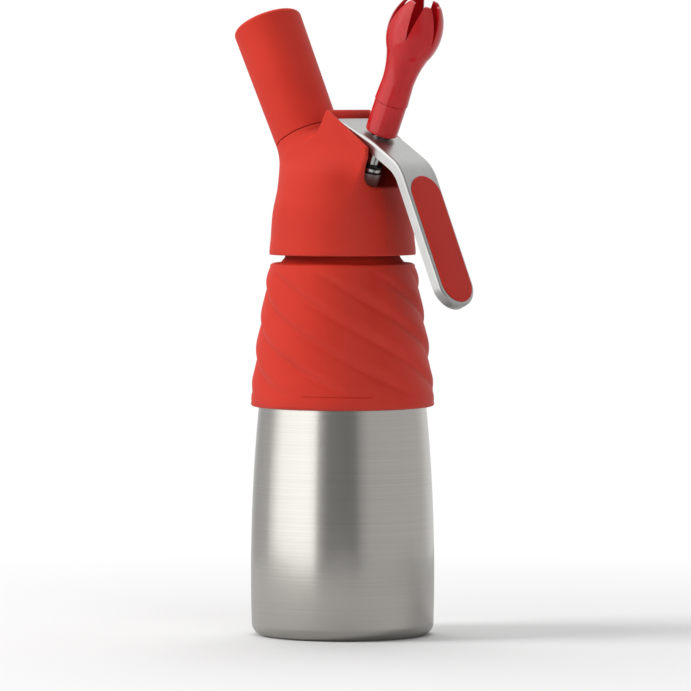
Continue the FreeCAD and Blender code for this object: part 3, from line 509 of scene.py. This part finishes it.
def net_over(field):
    """Points, in cells, and faces where a sampled field crosses zero: one point in each cell it crosses."""
    cells = np.array(field.shape) - 1
    total = np.zeros((*cells, 3))
    count = np.zeros(cells)
    faces = []
    steps = np.eye(3, dtype=int)
    for axis in range(3):
        second, third = steps[(axis + 1) % 3], steps[(axis + 2) % 3]
        before = np.moveaxis(np.moveaxis(field, axis, 0)[:-1], 0, axis)
        after = np.moveaxis(np.moveaxis(field, axis, 0)[1:], 0, axis)
        spots = np.argwhere((before < 0) != (after < 0))
        low, high = before[tuple(spots.T)], after[tuple(spots.T)]
        crossing = spots + (low / (low - high))[:, None] * steps[axis]
        around = [spots - second - third, spots - third, spots, spots - second]
        for cell in around:
            np.add.at(total, tuple(cell.T), crossing)
            np.add.at(count, tuple(cell.T), 1)
        quad = np.stack([np.ravel_multi_index(tuple(cell.T), cells) for cell in around], 1)
        faces.append(np.where((low < 0)[:, None], quad, quad[:, ::-1]))
    used = np.flatnonzero(count.ravel())
    number = np.full(count.size, -1)
    number[used] = np.arange(len(used))
    points = total.reshape(-1, 3)[used] / count.ravel()[used, None]
    return points, number[np.concatenate(faces)]


def make_head_cover():
    """The cover's surface, netted over its distance field and then drawn on to the true surface."""
    step, probe, longest_move, least_slope = 0.72, 0.05, 0.3, 0.25
    low, high = np.array([-38.0, -34.5, 168.0]), np.array([35.0, 35.0, 237.5])
    axes = [np.arange(low[i], high[i], step) for i in range(3)]
    points, faces = net_over(cover_distance(np.meshgrid(*axes, indexing="ij")))
    points = points * step + low
    # Each point is drawn on to the true surface along the field's slope
    for _ in range(2):
        here = cover_distance(points.T)
        beside = [cover_distance((points + shift).T) - here for shift in np.eye(3) * probe]
        slope = np.stack(beside, 1) / probe
        share = here / np.maximum((slope ** 2).sum(1), least_slope)
        points -= np.clip(share, -longest_move, longest_move)[:, None] * slope
    cover = piece_from("head_cover_moulding", points, faces, HEAD_SILICONE)
    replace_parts(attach(cover, "head"), "head_cover")


# Lever pad: a soft inlay with a rolled edge and a slightly domed face


def make_lever_pad():
    """The inlay, as long and wide as its CAD solid, with straight sides and half-round ends."""
    sunk = 0.12
    flat = np.array([math.cos(GRIP_DROP), 0, -math.sin(GRIP_DROP)])
    out = np.array([math.sin(GRIP_DROP), 0, math.cos(GRIP_DROP)])
    solid = np.array([v.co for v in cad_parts["lever_pad"].data.vertices]) / MM
    along, depth = solid @ flat, solid @ out
    half_width = solid[:, 1].max()
    low, high = along.min() + half_width, along.max() - half_width
    top, bottom = depth.max(), depth.min()
    # How far in from the edge, and how far above the solid's top
    levels = [(0.0, bottom - top), (0.0, -0.75), (0.07, -0.42), (0.28, -0.18), (0.62, -0.05), (1.6, 0.02),
              (4.0, 0.1), (6.5, 0.15), (half_width - 0.3, 0.17)]
    angles = np.linspace(-math.pi / 2, math.pi / 2, 33)
    points = []
    for inset, lift in levels:
        radius = half_width - inset
        ends = [(high + radius * math.cos(a), radius * math.sin(a)) for a in angles]
        ends += [(low - radius * math.cos(a), -radius * math.sin(a)) for a in angles]
        points += [u * flat + np.array([0, v, 0]) + (top + lift - sunk) * out for u, v in ends]
    rim = 2 * len(angles)
    faces = [tuple(reversed(range(rim)))]
    for level in range(len(levels) - 1):
        start, above = level * rim, (level + 1) * rim
        faces += [(start + i, start + (i + 1) % rim, above + (i + 1) % rim, above + i) for i in range(rim)]
    last = (len(levels) - 1) * rim
    faces += [(last + i, last + i + 1, last + rim - 2 - i, last + rim - 1 - i)
              for i in range(len(angles) - 1)]
    pad = piece_from("lever_inlay", points, faces, PAD_SILICONE)
    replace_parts(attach(pad, "lever"), "lever_pad")


# Valve spring: a coil of round wire between the guide's cup and the stem's shoulder

SPRING = {
    "Coils": 4.5,
    "Coil radius": 4.35 * MM,
    "Wire radius": 0.35 * MM,
    "Length": 6.2 * MM,
}


def spring_tree():
    """Geometry nodes that sweep round wire along a coil."""
    tree = bpy.data.node_groups.new("Valve spring coil", "GeometryNodeTree")
    for name, value in SPRING.items():
        tree.interface.new_socket(name, in_out="INPUT", socket_type="NodeSocketFloat").default_value = value
    tree.interface.new_socket("Material", in_out="INPUT", socket_type="NodeSocketMaterial")
    tree.interface.new_socket("Coil", in_out="OUTPUT", socket_type="NodeSocketGeometry")
    size = tree.nodes.new("NodeGroupInput").outputs
    coil = add(tree, "GeometryNodeCurveSpiral", {
        "Resolution": 28, "Rotations": size["Coils"], "Start Radius": size["Coil radius"],
        "End Radius": size["Coil radius"], "Height": size["Length"]})
    wire = add(tree, "GeometryNodeCurvePrimitiveCircle", {"Resolution": 10, "Radius": size["Wire radius"]})
    swept = add(tree, "GeometryNodeCurveToMesh", {"Curve": coil, "Profile Curve": wire, "Fill Caps": True})
    soft = add(tree, "GeometryNodeSetShadeSmooth", {"Geometry": swept})
    real = add(tree, "GeometryNodeRealizeInstances", {"Geometry": soft})
    painted = add(tree, "GeometryNodeSetMaterial", {"Geometry": real, "Material": size["Material"]})
    add(tree, "NodeGroupOutput", {"Coil": painted})
    return tree


def make_valve_spring():
    """The coil, standing in the guide's cup on the valve's line."""
    # The floor of the guide's cup, up the valve's line
    cup_floor = 29.0 * MM
    spring = piece_from("valve_coil", [(0, 0, 0)], [], BRIGHT_STEEL)
    spring = shaped_by(spring, spring_tree(), SPRING, BRIGHT_STEEL)
    along = Vector((math.sin(VALVE_TILT), 0, math.cos(VALVE_TILT)))
    foot = along * (cup_floor + SPRING["Wire radius"])
    foot.z += VALVE_HEIGHT * MM
    spring.data.transform(Matrix.Translation(foot) @ Matrix.Rotation(VALVE_TILT, 4, "Y"))
    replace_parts(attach(spring, "head"), "valve_spring")
    # At full stroke the stem's shoulder leaves 0.61 of the coil's length above its seat
    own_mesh(spring)


make_sleeve()
make_head_cover()
make_lever_pad()
make_valve_spring()


# Camera: 2.5 degrees above level, turned 45 degrees, and far off with a long lens


def make_camera():
    """The camera that takes the picture, aimed a little to the right of the bottle's axis."""
    turn, rise, distance = math.radians(45.0), math.radians(2.5), 2.68
    aim_height, aim_aside = 0.1293, 0.0013
    back = Vector((math.sin(turn) * math.cos(rise), -math.cos(turn) * math.cos(rise), math.sin(rise)))
    right = Vector((math.cos(turn), math.sin(turn), 0))
    aim = Vector((0, 0, aim_height)) + right * aim_aside
    lens = bpy.data.cameras.new("Camera")
    lens.lens, lens.sensor_width = 312.6, 36.0
    camera = bpy.data.objects.new("Camera", lens)
    camera.location = aim + back * distance
    camera.rotation_euler = (-back).to_track_quat("-Z", "Y").to_euler()
    bpy.context.scene.collection.objects.link(camera)
    bpy.context.scene.camera = camera


# Studio: a white floor that fades out, white surroundings and three soft lamps


def make_floor():
    """A white floor that catches the shadow, and turns into plain white further out."""
    half = 480
    corners = [(-half, -half, 0), (half, -half, 0), (half, half, 0), (-half, half, 0)]
    floor = piece_from("studio_floor", corners, [(0, 1, 2, 3)], None, smooth=False)
    material = bpy.data.materials.new("White studio floor")
    material.use_nodes = True
    tree = material.node_tree
    tree.nodes.clear()
    place = add(tree, "ShaderNodeTexCoord").outputs["Object"]
    far = add(tree, "ShaderNodeVectorMath", {0: place}, operation="LENGTH").outputs["Value"]
    fade = add(tree, "ShaderNodeMapRange", {"Value": far, "From Min": 0.12, "From Max": 0.46})
    path = add(tree, "ShaderNodeLightPath").outputs
    # Metal sees the floor as a grey sweep, so that the bottle's foot keeps its own tone
    tone = add(tree, "ShaderNodeMix", {"Factor": path["Is Glossy Ray"], "A": linear("#E4E4E4"),
                                       "B": linear("#BCBCBC")}, data_type="RGBA")
    matt = add(tree, "ShaderNodeBsdfDiffuse", {"Color": tone})
    white = add(tree, "ShaderNodeEmission", {"Color": (1, 1, 1, 1), "Strength": 1.0})
    amount = add(tree, "ShaderNodeMath", {0: fade, 1: path["Is Camera Ray"]}, operation="MULTIPLY")
    mixed = add(tree, "ShaderNodeMixShader", {0: amount, 1: matt, 2: white})
    add(tree, "ShaderNodeOutputMaterial", {"Surface": mixed})
    floor.data.materials.clear()
    floor.data.materials.append(material)


def make_lamp(name, spot, size, watts):
    """A soft rectangular lamp, aimed at the middle of the part, that doesn't show in metal."""
    aim_height = 0.15
    lamp = bpy.data.lights.new(name, "AREA")
    lamp.shape, lamp.size, lamp.size_y, lamp.energy = "RECTANGLE", size[0], size[1], watts
    holder = bpy.data.objects.new(name, lamp)
    holder.location = spot
    holder.rotation_euler = (Vector((0, 0, aim_height)) - Vector(spot)).to_track_quat("-Z", "Y").to_euler()
    holder.visible_glossy = False
    bpy.context.scene.collection.objects.link(holder)


def make_world():
    """White surroundings. Metal sees them brighter on the left and overhead, and dimmer behind the camera."""
    world = bpy.data.worlds.new("White studio")
    bpy.context.scene.world = world
    world.use_nodes = True
    tree = world.node_tree
    tree.nodes.clear()
    way = add(tree, "ShaderNodeTexCoord").outputs["Generated"]
    axes = add(tree, "ShaderNodeSeparateXYZ", {0: way}).outputs
    angle = add(tree, "ShaderNodeMath", {0: axes["Y"], 1: axes["X"]}, operation="ARCTAN2")
    from_back = add(tree, "ShaderNodeMath", {0: angle, 1: math.radians(225.0)}, operation="ADD")
    turns = add(tree, "ShaderNodeMath", {0: from_back, 1: 2 * math.pi}, operation="DIVIDE")
    around = add(tree, "ShaderNodeMath", {0: turns}, operation="FRACT")
    ramp = add(tree, "ShaderNodeValToRGB", {"Fac": around})
    stops = ramp.color_ramp.elements
    # Where in the turn, and how bright: 0.5 is behind the camera, and less than that is to its left
    levels = [(0.0, 0.5), (0.1, 0.3), (0.19, 0.34), (0.25, 0.95), (0.39, 1.05), (0.425, 0.16), (0.54, 0.13),
              (0.59, 0.34), (0.84, 0.36), (0.9, 0.5), (1.0, 0.5)]
    stops[0].position, stops[0].color = levels[0][0], (levels[0][1],) * 3 + (1.0,)
    stops[1].position, stops[1].color = levels[-1][0], (levels[-1][1],) * 3 + (1.0,)
    for position, level in levels[1:-1]:
        stops.new(position).color = (level,) * 3 + (1.0,)
    high = add(tree, "ShaderNodeMapRange", {
        "Value": axes["Z"], "From Min": 0.3, "From Max": 0.6, "To Min": 1.65, "To Max": 2.1})
    studio = add(tree, "ShaderNodeMath", {0: ramp, 1: high}, operation="MULTIPLY")
    path = add(tree, "ShaderNodeLightPath").outputs
    soft = add(tree, "ShaderNodeMix", {"Factor": path["Is Glossy Ray"], "A": 0.33, "B": studio})
    seen = add(tree, "ShaderNodeMath", {0: path["Is Camera Ray"], 1: path["Is Transmission Ray"]},
               operation="MAXIMUM")
    strength = add(tree, "ShaderNodeMix", {"Factor": seen, "A": soft, "B": 1.0})
    sky = add(tree, "ShaderNodeBackground", {"Color": (1, 1, 1, 1), "Strength": strength})
    add(tree, "ShaderNodeOutputWorld", {"Surface": sky})


make_camera()
make_floor()
make_lamp("Window on the left", (-0.85, -1.15, 0.9), (0.7, 0.9), 21.0)
make_lamp("Fill on the right", (1.3, -0.5, 0.5), (0.8, 1.0), 5.5)
make_lamp("Overhead", (-0.4, 0.4, 1.4), (1.0, 1.0), 11.0)
make_world()
bpy.context.scene.view_settings.view_transform = "Standard"
